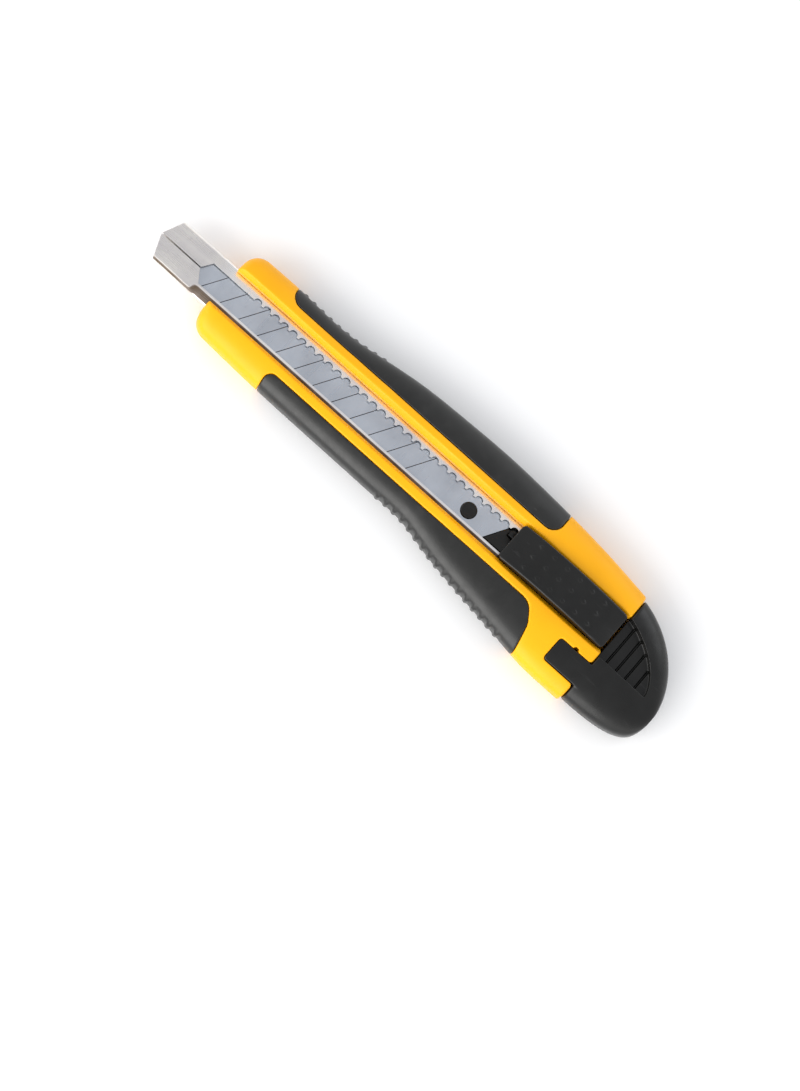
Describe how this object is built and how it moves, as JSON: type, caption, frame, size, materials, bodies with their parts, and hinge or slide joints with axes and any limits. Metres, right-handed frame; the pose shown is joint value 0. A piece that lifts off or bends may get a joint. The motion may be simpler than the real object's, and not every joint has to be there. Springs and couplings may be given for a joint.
{
  "type": "snap-off knife",
  "caption": "Retractable snap-off knife: a rubber-gripped handle, a folded steel blade channel, a scored blade on a self-locking thumb slider, and a pull-off end cap.",
  "frame": {"origin": "on the flat back that the knife lies on, under the blade's centreline, halfway along the knife", "axes": "+X towards the tail, +Y towards the spine side, +Z out of the face that carries the thumb slider"},
  "size_m": [0.1384, 0.0306, 0.0117],
  "materials": {
    "handle_plastic": "satin moulded ABS, golden yellow",
    "soft_grip": "matte black thermoplastic rubber with fine ribs",
    "black_plastic": "satin black moulded plastic",
    "channel_steel": "bright rolled stainless sheet",
    "blade_steel": "fine ground carbon steel",
    "spring_steel": "bright spring steel"
  },
  "bodies": {
    "handle": {"body": "handle_plastic", "spine_grip": "soft_grip", "edge_grip": "soft_grip", "blade_channel": "channel_steel"},
    "carriage": {"blade_carriage": "black_plastic", "blade": "blade_steel", "blade_stud": "black_plastic", "pawl_spring": "spring_steel"},
    "slider": {"thumb_slider": "black_plastic"},
    "pawl": {"lock_pawl": "black_plastic"},
    "cap": {"end_cap": "black_plastic"}
  },
  "joints": [
    {"name": "blade_run", "type": "slide", "parent": "handle", "child": "carriage", "axis": [-1, 0, 0], "range_m": [0, 0.06919]},
    {"name": "thumb_travel", "type": "slide", "parent": "carriage", "child": "slider", "axis": [1, 0, 0], "range_m": [0, 0.0006], "stiffness_N_per_m": 800, "springref_m": 0.0006},
    {"name": "pawl_travel", "type": "slide", "parent": "carriage", "child": "pawl", "axis": [0, 1, 0], "range_m": [0, 0.00065]},
    {"name": "cap_travel", "type": "slide", "parent": "handle", "child": "cap", "axis": [1, 0, 0], "range_m": [0, 0.02]}
  ],
  "couplings": [
    {"joint": "pawl_travel", "follows": "thumb_travel", "ratio": 1.08}
  ]
}
